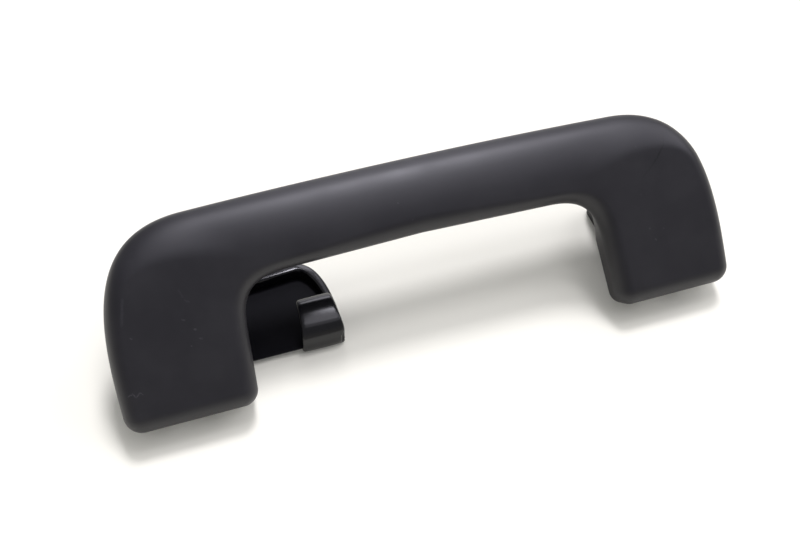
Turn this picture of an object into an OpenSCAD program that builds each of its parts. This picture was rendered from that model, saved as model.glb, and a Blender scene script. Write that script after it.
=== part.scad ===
// Roof grab handle of a car with a coat hook, taken off the roof and lying on its mounting plates.
// X runs along the bar, +Y from the hinge towards the bar, +Z from the roof metal into the cabin.
// The origin is the middle of the four screw holes, on the mounting plane.
// The grip has a frame of its own: u along the bar, v up its face from the leg ends, w out of its face.

/* [Grip outline] */
// Half of the grip's length at its widest
half_length = 127.4; // [124:0.2:131]
// Height of the bar's upper edge above the leg ends, at mid span
grip_height = 79.1; // [77:0.2:82]
// Fall of the upper edge from mid span to where the shoulder starts
top_fall = 1.3; // [0:0.1:3]
// Distance from the grip's end back to where the shoulder starts
shoulder_reach = 39.4; // [34:0.2:46]
// Height above the leg ends where the shoulder runs into the outer side
shoulder_foot = 20; // [12:0.5:28]
// How far the outer side leans in at the leg end
side_lean = 0.4; // [0:0.1:2]
// Height of the bar's lower edge above the leg ends
bar_bottom = 49.3; // [46:0.2:51]
// Width of a leg at its end
leg_w = 51.2; // [49:0.2:54]
// How far the leg's inner side leans into the gap where the inner corner starts
gap_lean = 1.6; // [0:0.1:3]
// Height above the leg ends where the inner corner starts
inner_corner_foot = 29; // [24:0.5:33]
// Distance from the leg's inner side to where the inner corner ends on the bar
inner_corner_reach = 22.2; // [17:0.2:28]
// Radius of the leg end's outer corner, seen from the front
outer_corner_r = 7; // [4:0.5:9]
// Radius of the leg end's inner corner, seen from the front
inner_corner_r = 6; // [4:0.5:8]

/* [Grip section] */
// Thickness of the bar
bar_thickness = 20; // [17:0.5:24]
// Depth of the legs' walls behind the face
leg_depth = 13.2; // [12.6:0.1:14]
// Rounding of the front edges along the legs
leg_edge_r = 6.5; // [4:0.5:7.5]
// Rounding of the bar's front along its lower edge
bar_edge_r = 7; // [5:0.5:9]
// Share of the bar's width over which its front falls back towards the upper edge
bar_slope = 0.74; // [0.5:0.01:0.76]
// How far the bar's front falls back at the upper edge
bar_fall = 11; // [8:0.5:11]
// Rounding of the bar's back edges
bar_back_r = 8.5; // [5:0.5:9.5]
// Rounding of the legs' back edges
leg_back_r = 0.8; // [0.4:0.1:1.2]
// Rounding of the face over the leg's end
end_edge_r = 6.5; // [4:0.5:7.5]
// Crown of the whole face between the leg ends and the top
face_crown = 1; // [0:0.1:2]
// Bow of the bar out of the legs' plane, at mid span
bar_bow = 1.8; // [0:0.1:3]
// Wall of the hollow legs
wall = 2.5; // [2.2:0.1:2.8]

/* [Hinge] */
// Angle between the grip's face and the mounting plane, folded
fold_tilt = 43; // [40:0.5:46]
// Hinge axis behind the middle of the screw holes
hinge_back = 28; // [26:0.5:30]
// Hinge axis above the mounting plane
hinge_rise = 14; // [13.6:0.1:15]
// Hinge axis above the leg ends, along the face
hinge_v = 11; // [10.5:0.1:11.5]
// Hinge axis behind the face
hinge_depth = 8; // [7.8:0.1:8.4]
// Radius of the hinge pin
pin_r = 2; // [1.6:0.1:2.2]
// Radial clearance between the pin and what turns on it
pin_play = 0.05; // [0.02:0.01:0.09]
// Radius of the pin's head
pin_head_r = 3.4; // [3:0.1:3.8]
// Thickness of the pin's head
pin_head_t = 1.2; // [0.8:0.1:1.5]
// Wall of the bushes in the grip's cheeks
bush_wall = 1.1; // [0.8:0.1:1.2]
// Thickness of a bush's flange
flange_t = 0.8; // [0.6:0.1:1]
// How far a bush's flange stands out past its tube
flange_lip = 1; // [0.6:0.1:1.2]
// Thickness of the grip's cheeks that carry the bushes
cheek_t = 3; // [2.5:0.1:3.3]
// Radius of the grip's cheeks round the bushes
cheek_r = 5; // [4.8:0.1:5.1]
// Gap between faces that turn past each other
side_gap = 0.3; // [0.2:0.05:0.4]

/* [Brackets] */
// How far a bracket's middle lies inwards from the middle of its leg
bracket_offset = 1.8; // [1:0.1:2.6]
// Room between a bracket's side and the side of its leg
bracket_room = 14.4; // [13.8:0.1:15]
// Thickness of a bracket's base
base_t = 3; // [2.5:0.1:3.5]
// Front end of the base, on the bar's side of the screw holes
base_front = 22; // [21:0.5:26]
// Back end of the base, on the hinge's side of the screw holes
base_back = 20.5; // [20:0.5:21]
// Corner radius of the base
base_corner_r = 3; // [1:0.5:3.5]
// Distance between the two screw holes of a bracket
hole_spacing = 24; // [23:0.5:25]
// Thickness of a bracket's two arms
arm_t = 3; // [2.5:0.1:3.4]
// Radius of the arms round the pin
arm_r = 4.6; // [4.2:0.1:4.7]
// Thickness of the bridge between the arms
bridge_t = 2.5; // [2:0.1:3]
// Height of the screw seats above the mounting plane
seat_h = 5; // [4.5:0.1:6]
// Radius of the screw seats
seat_r = 7.4; // [7:0.1:7.6]
// Radius of the hole through the steel sleeves
screw_hole_r = 3.3; // [3.1:0.1:3.4]
// Wall of the steel sleeves in the screw holes
sleeve_wall = 1.2; // [1:0.1:1.4]
// Clearance between pieces pressed or laid together
fit_gap = 0.02; // [0.01:0.01:0.05]

/* [Inside the legs] */
// Radius of the return spring's wire
wire_r = 0.7; // [0.5:0.05:0.75]
// Mean radius of the return spring's coil
coil_r = 3.5; // [3.2:0.1:3.6]
// Number of turns of the return spring
coil_turns = 9; // [7:1:10]
// Length of the return spring's two straight ends
spring_leg = 7; // [5:0.5:7.5]
// Radius of the damper's rotor
rotor_r = 3.6; // [3.2:0.1:3.7]
// Outer radius of the damper's housing
damper_r = 5; // [4.8:0.1:5.1]
// Width of the damper housing's key
damper_key_w = 8; // [6:0.5:9]
// Radius of the rubber stops
stop_r = 2.6; // [2:0.1:3]

/* [Coat hook] */
// Width of the hook, from the left bracket to its right end
hook_w = 53.2; // [50:0.2:56]
// Thickness of the hook's plate
hook_plate_t = 3; // [2.5:0.1:3.5]
// Back edge of the plate, from the middle of the screw holes
hook_back = 15; // [14:0.5:16]
// Front edge of the plate at its highest, from the middle of the screw holes
hook_front = 24.4; // [22:0.2:25]
// How much lower the front edge lies where it goes behind the leg
hook_front_fall = 3.4; // [2:0.5:6]
// Height of the rim round the plate
rim_h = 8; // [6:0.5:10]
// Thickness of the rim at the right end
rim_t = 2.6; // [2.2:0.1:3.2]
// Thickness of the rim along the front edge
rim_front_t = 4; // [3:0.1:4.5]
// Width of the nose at its root
nose_w = 17.9; // [16:0.5:20]
// Height of the nose's lip above the mounting plane
nose_h = 14.5; // [13.5:0.5:17]
// How far the lip leans forwards over the plate from the plate's back edge
nose_lean = 17; // [14:0.5:18]
// Wall of the nose
nose_wall = 2.6; // [2.2:0.1:3]
// How far the nose's root stands out behind the plate's back edge
nose_bulge = 1.5; // [1:0.1:3]
// Thickness of the tongue that the left bracket's rear screw clamps
tongue_t = 1.5; // [1.2:0.1:1.8]

/* [Screw covers] */
// Wall of the screw covers
cover_wall = 1.4; // [1.2:0.1:1.6]
// Height of the screw covers' tops above the mounting plane
cover_h = 16; // [14:0.5:18]

/* [Hidden] */
$fn = 48;

half_gap = half_length - leg_w;
shoulder_start = half_length - shoulder_reach;
inner_corner_head = half_gap - inner_corner_reach;
bracket_x = half_length - leg_w / 2 - bracket_offset;
bracket_w = leg_w - 2 * bracket_room;
arm_in = bracket_w / 2 - arm_t;
bush_r = pin_r + pin_play + bush_wall;
cheek_in = bracket_w / 2 + side_gap + flange_t;
pin_end = cheek_in + cheek_t + side_gap;
ring_t = 0.8;
sleeve_r = screw_hole_r + sleeve_wall;
end_reach = sqrt(pow(hinge_v, 2) + pow(leg_depth - hinge_depth, 2));
sweep_gap = 0.5;
swing_start = 72;

// Shares of the shoulder after which the section is the leg's, its back edge is sharp, and the hollow starts
leg_from = 0.62;
soft_to = 0.95;
hollow_from = 0.42;
// Share of the shoulder over which the hollow deepens
hollow_run = 0.16;
// Fall of the bar's lower edge from mid span to where the inner corner starts
corner_drop = 1.3;
// How far the back edge leans into the leg round the inner corner
corner_draft = 2;
// Least radius of the front edges where they run out over the leg's end
least_r = 0.6;
// Stands for a section too far from the leg's end to be rounded off
far = 99;
// Steps along half of the grip: bar, shoulder and leg
bar_steps = 6;
shoulder_steps = 13;
leg_steps = 3;
// Distances from the leg's end of the sections that round it off, the hollow starting after the end wall
end_cuts = [7, 5.2, wall + 1, wall + 0.3, wall * 0.55, wall * 0.2, 0];

function bezier(a, b, c, d, t) =
    pow(1 - t, 3) * a + 3 * pow(1 - t, 2) * t * b + 3 * (1 - t) * t * t * c + pow(t, 3) * d;
function mix(a, b, t) = a + (b - a) * t;
function clamp(x) = min(1, max(0, x));
function ease(x) = let (c = clamp(x)) c * c * (3 - 2 * c);
// How far a round of radius r falls back at distance t from its end
function fall(r, t) = t >= r ? 0 : r - sqrt(r * r - pow(r - t, 2));

// Outer and inner outline of the right half, in the grip's own u and v
shoulder_top = [shoulder_start, grip_height - top_fall];
side_foot = [half_length, shoulder_foot];
function top_edge(t) = bezier([0, grip_height], [shoulder_start * 0.35, grip_height],
    [shoulder_start * 0.7, grip_height - top_fall * 0.35], shoulder_top, t);
function shoulder(t) = bezier(shoulder_top,
    shoulder_top + [(half_length - shoulder_start) * 0.76, -top_fall * 0.4],
    side_foot + [0, (grip_height - shoulder_foot) * 0.63], side_foot, t);
function outer_side(v) = [half_length - side_lean * pow(1 - v / shoulder_foot, 2), v];
corner_head = [inner_corner_head, bar_bottom - corner_drop];
corner_foot = [half_gap - gap_lean, inner_corner_foot];
function bar_edge(t) = mix([0, bar_bottom], corner_head, t);
function inner_corner(t) = bezier(corner_head,
    corner_head + [(corner_foot[0] - corner_head[0]) * 0.78, -0.4],
    corner_foot + [-0.8, (corner_head[1] - corner_foot[1]) * 0.68], corner_foot, t);
function inner_side(v) = mix([half_gap, 0], corner_foot, v / inner_corner_foot);

// One section of the grip: outline points o and i, g from 0 on the leg to 1 on the bar, soft
// the same for its back edges, hollow from 0 where it is solid to 1, the distance from the leg's end,
// and the draft of the inner side
function section(o, i, g, soft, hollow, from_end, draft = 0) = let (
    span = norm(o - i),
    along = (o - i) / span,
    start = i + along * fall(inner_corner_r, from_end),
    width = span - fall(inner_corner_r, from_end) - fall(outer_corner_r, from_end),
    drop = fall(end_edge_r, from_end),
    bow = bar_bow * clamp(1 - pow((o[0] + i[0]) / (half_length + half_gap), 2)),
    top = bow - drop,
    back = bow * g - mix(leg_depth, bar_thickness, g),
    front_r = max(least_r, mix(leg_edge_r, bar_edge_r, g) - drop),
    slope_w = max(least_r, mix(leg_edge_r, bar_slope * width, g) - drop),
    slope_h = max(least_r, mix(leg_edge_r, bar_fall, g) - drop),
    back_r = mix(leg_back_r, bar_back_r, soft),
    rim = max(wall, back_r + 0.3),
    roof = mix(back, top - wall, hollow),
    flat = concat(
        [for (a = [0:30:90]) [draft + back_r * (1 - sin(a)), back + back_r * (1 - cos(a)), 0]],
        [for (a = [0:18:90]) [front_r * (1 - cos(a)), top - front_r * (1 - sin(a)), sin(a)]],
        [for (k = [0.25, 0.5, 0.75]) [mix(front_r, width - slope_w, k), top, 1]],
        [for (a = [0:18:90]) [width - slope_w * (1 - sin(a)), top - slope_h * (1 - cos(a)), cos(a)]],
        [for (a = [0:30:90]) [width - back_r * (1 - cos(a)), back + back_r * (1 - sin(a)), 0]],
        [[width - rim, back, 0], [width - rim - 0.8, roof, hollow], [width / 2, roof, hollow],
            [rim + draft + 0.8, roof, hollow], [rim + draft, back, 0]]))
    [for (p = flat) let (uv = start + along * p[0], t = clamp(uv[1] / grip_height))
        [uv[0], uv[1], p[1] + p[2] * face_crown * 4 * t * (1 - t)]];

// Sections of the right half, from mid span to the leg's end
half_sections = concat(
    [for (k = [0:bar_steps - 1]) let (t = k / bar_steps) section(top_edge(t), bar_edge(t), 1, 1, 0, far)],
    [for (k = [0:shoulder_steps - 1]) let (t = k / shoulder_steps)
        section(shoulder(t), inner_corner(t),
            1 - ease(t / leg_from), 1 - ease(t / soft_to), clamp((t - hollow_from) / hollow_run), far,
            corner_draft * 4 * t * (1 - t))],
    [for (k = [0:leg_steps - 1]) let (t = k / leg_steps)
        section(outer_side(mix(shoulder_foot, end_cuts[0] + 1, t)),
            inner_side(mix(inner_corner_foot, end_cuts[0] + 1, t)), 0, 0, 1, far)],
    [for (cut = end_cuts) section(outer_side(cut), inner_side(cut), 0, 0, cut > wall ? 1 : 0, cut)]);

function mirrored(ring) = [for (p = ring) [-p[0], p[1], p[2]]];
half_count = len(half_sections);
all_sections = concat([for (k = [half_count - 1:-1:1]) mirrored(half_sections[k])], half_sections);

// A closed skin over a row of sections, with a middle point in each end
module skin(rings) {
    m = len(rings[0]);
    n = len(rings);
    middle = [for (r = [rings[0], rings[n - 1]])
        [for (c = [0:2]) (min([for (p = r) p[c]]) + max([for (p = r) p[c]])) / 2]];
    sides = [for (i = [0:n - 2]) for (j = [0:m - 1]) for (half = [0, 1]) let (
        a = i * m + j, b = i * m + (j + 1) % m, c = a + m, d = b + m) half == 0 ? [a, b, c] : [b, d, c]];
    ends = [for (j = [0:m - 1]) for (e = [0, 1]) let (
        a = e * (n - 1) * m + j, b = e * (n - 1) * m + (j + 1) % m)
        e == 0 ? [n * m, b, a] : [n * m + 1, a, b]];
    polyhedron(points = concat([for (r = rings) for (p = r) p], middle), faces = concat(sides, ends));
}

// Puts what is drawn in the grip's u, v, w where the folded grip lies
module on_grip() {
    translate([0, -hinge_back, hinge_rise]) rotate([fold_tilt, 0, 0])
        translate([0, -hinge_v, hinge_depth]) children();
}

// Back of the leg's face, as the w where the hollow's roof lies at height v
function roof_w(v) = let (t = v / grip_height) face_crown * 4 * t * (1 - t) - wall;

// A point of the grip's v and w as the y and z of the part
function lie(v, w) = [-hinge_back + cos(fold_tilt) * (v - hinge_v) - sin(fold_tilt) * (w + hinge_depth),
    hinge_rise + sin(fold_tilt) * (v - hinge_v) + cos(fold_tilt) * (w + hinge_depth)];

// Extrudes a side view, drawn in y and z, from x0 over a thickness
module slab(x0, t) {
    translate([x0, 0, 0]) rotate([90, 0, 90]) linear_extrude(t) children();
}

// A round bar along X at the hinge axis, drawn from x0 to x1
module axle(r, x0, x1) {
    translate([x0, -hinge_back, hinge_rise]) rotate([0, 90, 0]) cylinder(r = r, h = x1 - x0);
}

// The same bar from x0 to x1 on the side of zero that end gives, -1 or 1
module stub(r, end, x0, x1) {
    axle(r, min(end * x0, end * x1), max(end * x0, end * x1));
}

// Middles of the four cheeks along X
cheek_places = [for (side = [-1, 1]) for (end = [-1, 1]) side * bracket_x + end * (cheek_in + cheek_t / 2)];

// The one-piece grip: solid bar, hollow legs and four cheeks that carry the bushes
module grip() {
    color("#333237") difference() {
        union() {
            on_grip() skin(all_sections);
            for (x = cheek_places) cheek(x);
        }
        for (x = cheek_places) axle(bush_r + fit_gap, x - cheek_t, x + cheek_t);
    }
}

// A cheek of the grip, whose web runs up into the back of the face
web_reach = 17;
web_v = hinge_v + web_reach;
web_w = 1 - wall;
module cheek(x) {
    slab(x - cheek_t / 2, cheek_t) {
        translate([-hinge_back, hinge_rise]) circle(cheek_r);
        polygon([lie(hinge_v - cheek_r, -hinge_depth), lie(hinge_v - cheek_r, web_w),
            lie(web_v, web_w), lie(web_v, web_w - 3), lie(hinge_v + cheek_r, -hinge_depth)]);
    }
}

// Side view of a bracket's arm: it reaches back to the pin and leaves room for the leg's end to swing
arm_reach = 21;
module arm_view() {
    difference() {
        union() {
            translate([-hinge_back, hinge_rise]) circle(arm_r);
            polygon([[-hinge_back, hinge_rise - arm_r], [-base_back, hinge_rise - arm_r], [-base_back, 0],
                [hole_spacing / 2 - seat_r, 0], [hole_spacing / 2 - seat_r, base_t],
                lie(hinge_v + arm_reach, -hinge_depth - arm_t),
                lie(hinge_v + web_reach, -hinge_depth + arm_r), lie(hinge_v, -hinge_depth + arm_r)]);
        }
        swing_room();
    }
}

// The ring sector through which the leg's end wall swings, up to the angle where it stands folded
module swing_room() {
    inner = hinge_v - wall - sweep_gap;
    outer = end_reach + sweep_gap;
    limit = fold_tilt - swing_start;
    translate([-hinge_back, hinge_rise]) difference() {
        circle(outer, $fn = 96);
        circle(inner, $fn = 96);
        rotate(limit) translate([-2 * outer, 0]) square([4 * outer, 2 * outer]);
    }
}

// The base plate of a bracket, with rounded corners
module base_view() {
    w = bracket_w / 2;
    r = base_corner_r;
    union() {
        translate([-w + r, -base_back]) square([2 * (w - r), base_front + base_back]);
        translate([-w, -base_back + r]) square([2 * w, base_front + base_back - 2 * r]);
        for (sx = [-1, 1]) for (y = [-base_back + r, base_front - r])
            translate([sx * (w - r), y]) circle(r);
    }
}

// A bracket: base, two arms, the bridge with the rubber stop's seat, and two screw seats
module bracket(x) {
    difference() {
        translate([x, 0, 0]) union() {
            linear_extrude(base_t) base_view();
            for (side = [-1, 1]) slab(side > 0 ? arm_in : -bracket_w / 2, arm_t) arm_view();
            slab(-arm_in - 0.5, 2 * arm_in + 1) bridge_view();
            for (s = [-1, 1]) translate([0, s * hole_spacing / 2, 0]) cylinder(r = seat_r, h = seat_h);
        }
        for (s = [-1, 1]) translate([x, s * hole_spacing / 2, -1])
            cylinder(r = sleeve_r + fit_gap, h = seat_h + 2);
        axle(pin_r + fit_gap, x - bracket_w, x + bracket_w);
        translate([x, 0, 0]) stop_seat();
    }
}

// Side view of the bridge, parallel to the grip's face
bridge_from = 9;
bridge_width = 5.5;
bridge_v0 = hinge_v + bridge_from;
bridge_v1 = bridge_v0 + bridge_width;
bridge_w = -hinge_depth + arm_r - 1.2;
stop_v = (bridge_v0 + bridge_v1) / 2;
module bridge_view() {
    polygon([lie(bridge_v0, bridge_w), lie(bridge_v1, bridge_w),
        lie(bridge_v1, bridge_w - bridge_t), lie(bridge_v0, bridge_w - bridge_t)]);
}

// Hole for the shank of the rubber stop
stem_r = 1.4;
module stop_seat() {
    on_grip() translate([0, stop_v, bridge_w - bridge_t - 1])
        cylinder(r = stem_r + fit_gap, h = bridge_t + 2);
}

module left_bracket() {
    color("#1c1c20") difference() {
        bracket(-bracket_x);
        translate([0, 0, -1]) linear_extrude(tongue_t + fit_gap + 1) tongue_view(0.1);
    }
}

module right_bracket() {
    color("#1c1c20") bracket(bracket_x);
}

// Rubber stop: a button on the bridge with a shank through it and a bead behind it
module rubber_stop(x) {
    bead_t = 1;
    button_w = bridge_w + fit_gap;
    color("#151515") translate([x, 0, 0]) on_grip() translate([0, stop_v, 0]) {
        translate([0, 0, button_w]) cylinder(r = stop_r, h = roof_w(stop_v - stop_r) - side_gap - button_w);
        translate([0, 0, bridge_w - bridge_t - bead_t]) cylinder(r = stem_r, h = bridge_t + bead_t + 0.5);
        translate([0, 0, bridge_w - bridge_t - bead_t]) cylinder(r = stem_r + 0.5, h = bead_t - fit_gap);
    }
}

module left_stop() rubber_stop(-bracket_x);
module right_stop() rubber_stop(bracket_x);

// Hinge pin with a head at its right end and a groove for its ring at the left end
groove_t = 0.5;
module hinge_pin(side) {
    color("#b8bcc0") difference() {
        union() {
            translate([side * bracket_x, 0, 0]) axle(pin_r, -pin_end - 2 * ring_t, pin_end + 0.1);
            translate([side * bracket_x, 0, 0]) axle(pin_head_r, pin_end, pin_end + pin_head_t);
        }
        translate([side * bracket_x, 0, 0]) ring_shape(pin_r + 1, pin_r - groove_t, fit_gap);
    }
}

// A flat ring at the pin's left end, from radius r_in to r_out, widened by extra on each side
module ring_shape(r_out, r_in, extra) {
    difference() {
        axle(r_out, -pin_end - ring_t - extra, -pin_end + extra);
        axle(r_in, -pin_end - ring_t - 1, -pin_end + 1);
    }
}

// The retaining ring, open below
module pin_ring(side) {
    slot_w = 1.2;
    color("#9aa0a5") translate([side * bracket_x, 0, 0]) difference() {
        ring_shape(pin_head_r, pin_r - groove_t + fit_gap, -fit_gap);
        translate([-pin_end - 2 * ring_t, -hinge_back - slot_w / 2, hinge_rise - 2 * pin_head_r])
            cube([3 * ring_t, slot_w, 2 * pin_head_r]);
    }
}

module left_hinge_pin() hinge_pin(-1);
module right_hinge_pin() hinge_pin(1);
module left_pin_ring() pin_ring(-1);
module right_pin_ring() pin_ring(1);

// Two flanged bushes, one in each cheek of a leg
module bushes(side) {
    color("#d8d6cc") translate([side * bracket_x, 0, 0]) for (end = [-1, 1]) difference() {
        union() {
            stub(bush_r, end, cheek_in - flange_t, cheek_in + cheek_t);
            stub(bush_r + flange_lip, end, cheek_in - flange_t, cheek_in - fit_gap);
        }
        axle(pin_r + pin_play, -pin_end, pin_end);
    }
}

module left_bushes() bushes(-1);
module right_bushes() bushes(1);

// Torsion spring round the left pin, as rings swept along its wire
coil_half = arm_in - wire_r - side_gap;
wire_sides = 8;
turn_steps = 14;
start_angle = -90;
coil_steps = coil_turns * turn_steps;
function wire_at(t) = let (a = start_angle + 360 * coil_turns * t)
    [coil_half * (2 * t - 1), coil_r * cos(a), coil_r * sin(a)];
spring_path = concat(
    [wire_at(0) + [0, spring_leg, 0]],
    [for (k = [0:coil_steps]) wire_at(k / coil_steps)],
    [wire_at(1) + [0, spring_leg, 0]]);
function unit(v) = v / norm(v);
function wire_ring(path, k) = let (
    a = path[max(0, k - 1)], b = path[min(len(path) - 1, k + 1)],
    t = unit(b - a), n1 = unit(cross(t, [1, 0, 0])), n2 = cross(t, n1))
    [for (j = [0:wire_sides - 1]) let (q = -360 * j / wire_sides)
        path[k] + wire_r * (cos(q) * n1 + sin(q) * n2)];

module return_spring() {
    color("#a9adb1") translate([-bracket_x, -hinge_back, hinge_rise])
        skin([for (k = [0:len(spring_path) - 1]) wire_ring(spring_path, k)]);
}

// Rotary damper round the right pin: the rotor stays with the pin, the housing turns with the grip
damper_half = arm_in - side_gap;
key_v0 = hinge_v - damper_key_w / 2;
key_v1 = hinge_v + damper_key_w / 2;
module damper_rotor() {
    color("#e4e2da") translate([bracket_x, 0, 0]) difference() {
        axle(rotor_r, -damper_half, damper_half);
        axle(pin_r + fit_gap, -bracket_w, bracket_w);
    }
}

module damper_housing() {
    half = damper_half - flange_t - 0.7;
    color("#3c3f44") translate([bracket_x, 0, 0]) difference() {
        union() {
            axle(damper_r, -half, half);
            slab(-half, 2 * half) polygon([lie(key_v0, -hinge_depth), lie(key_v1, -hinge_depth),
                lie(key_v1, roof_w(key_v1) - side_gap), lie(key_v0, roof_w(key_v0) - side_gap)]);
        }
        axle(rotor_r + pin_play, -bracket_w, bracket_w);
    }
}

// Steel sleeves that take the screws' clamping force
module sleeves(side) {
    color("#c4c7ca") for (s = [-1, 1]) translate([side * bracket_x, s * hole_spacing / 2, 0]) difference() {
        cylinder(r = sleeve_r, h = seat_h);
        translate([0, 0, -1]) cylinder(r = screw_hole_r, h = seat_h + 2);
    }
}

module left_sleeves() sleeves(-1);
module right_sleeves() sleeves(1);

// Coat hook, seen from above: back edge, round right end and sloping front edge
hook_in = bracket_x - bracket_w / 2 - fit_gap;
hook_reach = hook_in - hook_w;
front_left = [-hook_in, hook_front - hook_front_fall];
front_right = [-hook_reach - 12, hook_front];
back_right = [-hook_reach, -hook_back];
edge_bulge = 1;
corner_pull = 13.2;
function hook_edge(t) = bezier(back_right, back_right + [edge_bulge, hook_back - 2],
    front_right + [corner_pull, 0.6], front_right, t);
function hook_normal(t) = let (d = unit(hook_edge(min(1, t + 0.01)) - hook_edge(max(0, t - 0.01))))
    [-d[1], d[0]];
edge_steps = 16;
edge_points = [for (k = [0:edge_steps]) hook_edge(k / edge_steps)];
module hook_outline() {
    polygon(concat([[-hook_in, -hook_back]], edge_points, [front_left]));
}

// The strip of the rim that follows the right end and the front edge
module rim_outline() {
    slope = unit(front_left - front_right);
    polygon(concat(edge_points, [front_left], [front_left + rim_front_t * [-slope[1], slope[0]]],
        [for (k = [edge_steps:-1:0]) let (t = k / edge_steps)
            hook_edge(t) + mix(rim_t, rim_front_t, ease(t)) * hook_normal(t)]));
}

// Side view of the wedge that bevels the underside of the plate's back edge
edge_t = 0.6;
module bevel_view() {
    depth = 0.85 * hook_plate_t;
    polygon([[-hook_back - 1, hook_plate_t - edge_t], [-hook_back, hook_plate_t - edge_t],
        [-hook_back + depth, -0.01], [-hook_back + depth, -1], [-hook_back - 1, -1]]);
}

// Side view of the nose: it rises from the plate's back edge and curls forwards to its lip
lip = [-hook_back + nose_lean, nose_h];
nose_back = -hook_back - nose_bulge;
lip_in = lip - nose_wall * [0.33, 0.94];
function nose_outer(t) = bezier([-hook_back + 5, 0], [nose_back - 10.5, 0], lip + [-9.5, 6], lip, t);
function nose_inner(t) = bezier([-hook_back + 6, hook_plate_t - 0.5], [nose_back - 6, hook_plate_t - 0.8],
    lip_in + [-7.5, 5.2], lip_in, t);
module nose_view() {
    polygon(concat([for (k = [0:12]) nose_outer(k / 12)], [for (k = [12:-1:0]) nose_inner(k / 12)]));
    translate((lip + lip_in) / 2) circle(nose_wall / 2);
}

// Front view of the nose, along its lean: a tab with rounded lip corners, wider at its root
nose_corner_r = 2.8;
nose_left_in = 1.5;
nose_side_in = 1.8;
nose_tilt = 35;
module nose_front_view() {
    top = (lip[0] - nose_back) * cos(nose_tilt) + lip[1] * sin(nose_tilt) + nose_wall / 2;
    hull() {
        translate([-nose_w, -6]) square([nose_w, 12]);
        translate([nose_left_in - nose_w + nose_corner_r, top - nose_corner_r])
            circle(nose_corner_r, $fn = 32);
        translate([-nose_side_in - nose_corner_r, top - nose_corner_r]) circle(nose_corner_r, $fn = 32);
    }
}

// The nose from above, with a rounded corner at its root
root_r = 2;
module nose_plan() {
    hull() {
        translate([-hook_reach - root_r, nose_back + root_r]) circle(root_r, $fn = 32);
        translate([-hook_reach - nose_w - 1, nose_back - 1]) square(1);
        translate([-hook_reach - nose_w - 1, nose_back + 1.5 * nose_h])
            square([nose_w + edge_bulge + 1, 1]);
    }
}

module nose() {
    intersection() {
        slab(-hook_reach - nose_w - 1, nose_w + 3) nose_view();
        translate([-hook_reach, nose_back, 0]) rotate([nose_tilt, 0, 0]) translate([0, 0, -nose_h])
            linear_extrude(3 * nose_h) nose_front_view();
        linear_extrude(2 * nose_h) nose_plan();
    }
}

module coat_hook() {
    color("#0f0f12") difference() {
        union() {
            difference() {
                linear_extrude(hook_plate_t) hook_outline();
                slab(-hook_in - 1, hook_in - hook_reach + 2) bevel_view();
            }
            linear_extrude(rim_h) rim_outline();
            nose();
            linear_extrude(tongue_t) tongue_view(0);
        }
        translate([-bracket_x, -hole_spacing / 2, -1]) cylinder(r = sleeve_r + fit_gap, h = seat_h);
    }
}

// The hook's tongue, which lies in a rebate under the left bracket round its rear screw
tongue_w = 12;
module tongue_view(gap) {
    front = tongue_w / 2 - hole_spacing / 2 + gap;
    translate([-bracket_x, -hole_spacing / 2]) circle(tongue_w / 2 + gap);
    translate([-bracket_x, -hook_back - gap]) square([bracket_w / 2 + 2, front + hook_back + gap]);
}

// Screw cover: a hollow cap with a sloping top over the bracket's base and its front screw, its back
// wall notched round the screw's seat
cover_back = hole_spacing / 2 - seat_r + side_gap;
cover_low = 8;
cover_flat = 6;
module cover_view(inset) {
    polygon([[cover_back + inset, 0], [base_front - inset, 0], [base_front - inset, cover_low - inset],
        [cover_back + cover_flat, cover_h - inset], [cover_back + inset, cover_h - inset]]);
}
module screw_cover(x) {
    w = bracket_w / 2;
    color("#2b2b30") translate([x, 0, 0]) difference() {
        intersection() {
            slab(-w, 2 * w) cover_view(0);
            translate([0, 0, base_t + fit_gap]) linear_extrude(cover_h) base_view();
        }
        slab(-w + cover_wall, 2 * (w - cover_wall)) cover_view(cover_wall);
        translate([0, hole_spacing / 2, 0]) cylinder(r = seat_r + side_gap, h = seat_h + side_gap);
    }
}

module left_cover() screw_cover(-bracket_x);
module right_cover() screw_cover(bracket_x);

grip();
left_bracket();
right_bracket();
coat_hook();
left_hinge_pin();
right_hinge_pin();
left_pin_ring();
right_pin_ring();
left_bushes();
right_bushes();
return_spring();
damper_housing();
damper_rotor();
left_sleeves();
right_sleeves();
left_stop();
right_stop();
left_cover();
right_cover();
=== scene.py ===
"""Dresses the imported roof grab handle: a folding grip on two brackets, with a coat hook beside its left leg.

The frame comes from the CAD pack. Sizes in the classes are millimetres and the meshes are metres, in the
frame's own axes: +X along the bar, +Y from the hinge towards the bar, +Z out of the roof into the cabin.
"""

import logging
import math
from dataclasses import dataclass, field
from enum import Enum
from typing import Iterable, Optional, Sequence

import bmesh
import bpy
from mathutils import Matrix, Vector

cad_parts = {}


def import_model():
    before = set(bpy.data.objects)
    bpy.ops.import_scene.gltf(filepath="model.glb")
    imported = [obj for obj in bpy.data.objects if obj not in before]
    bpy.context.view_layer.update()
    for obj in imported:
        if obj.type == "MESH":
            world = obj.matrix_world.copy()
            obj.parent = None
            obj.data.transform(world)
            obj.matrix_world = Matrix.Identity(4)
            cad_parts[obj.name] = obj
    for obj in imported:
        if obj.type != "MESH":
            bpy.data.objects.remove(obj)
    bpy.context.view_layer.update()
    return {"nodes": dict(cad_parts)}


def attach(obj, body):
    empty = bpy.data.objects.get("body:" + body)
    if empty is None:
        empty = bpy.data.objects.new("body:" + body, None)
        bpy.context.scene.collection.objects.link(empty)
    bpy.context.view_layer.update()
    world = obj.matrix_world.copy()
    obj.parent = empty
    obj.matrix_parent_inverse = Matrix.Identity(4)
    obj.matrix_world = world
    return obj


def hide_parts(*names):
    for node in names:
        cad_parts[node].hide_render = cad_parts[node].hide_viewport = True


LOG = logging.getLogger("grab_handle")
MM = 0.001
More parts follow.
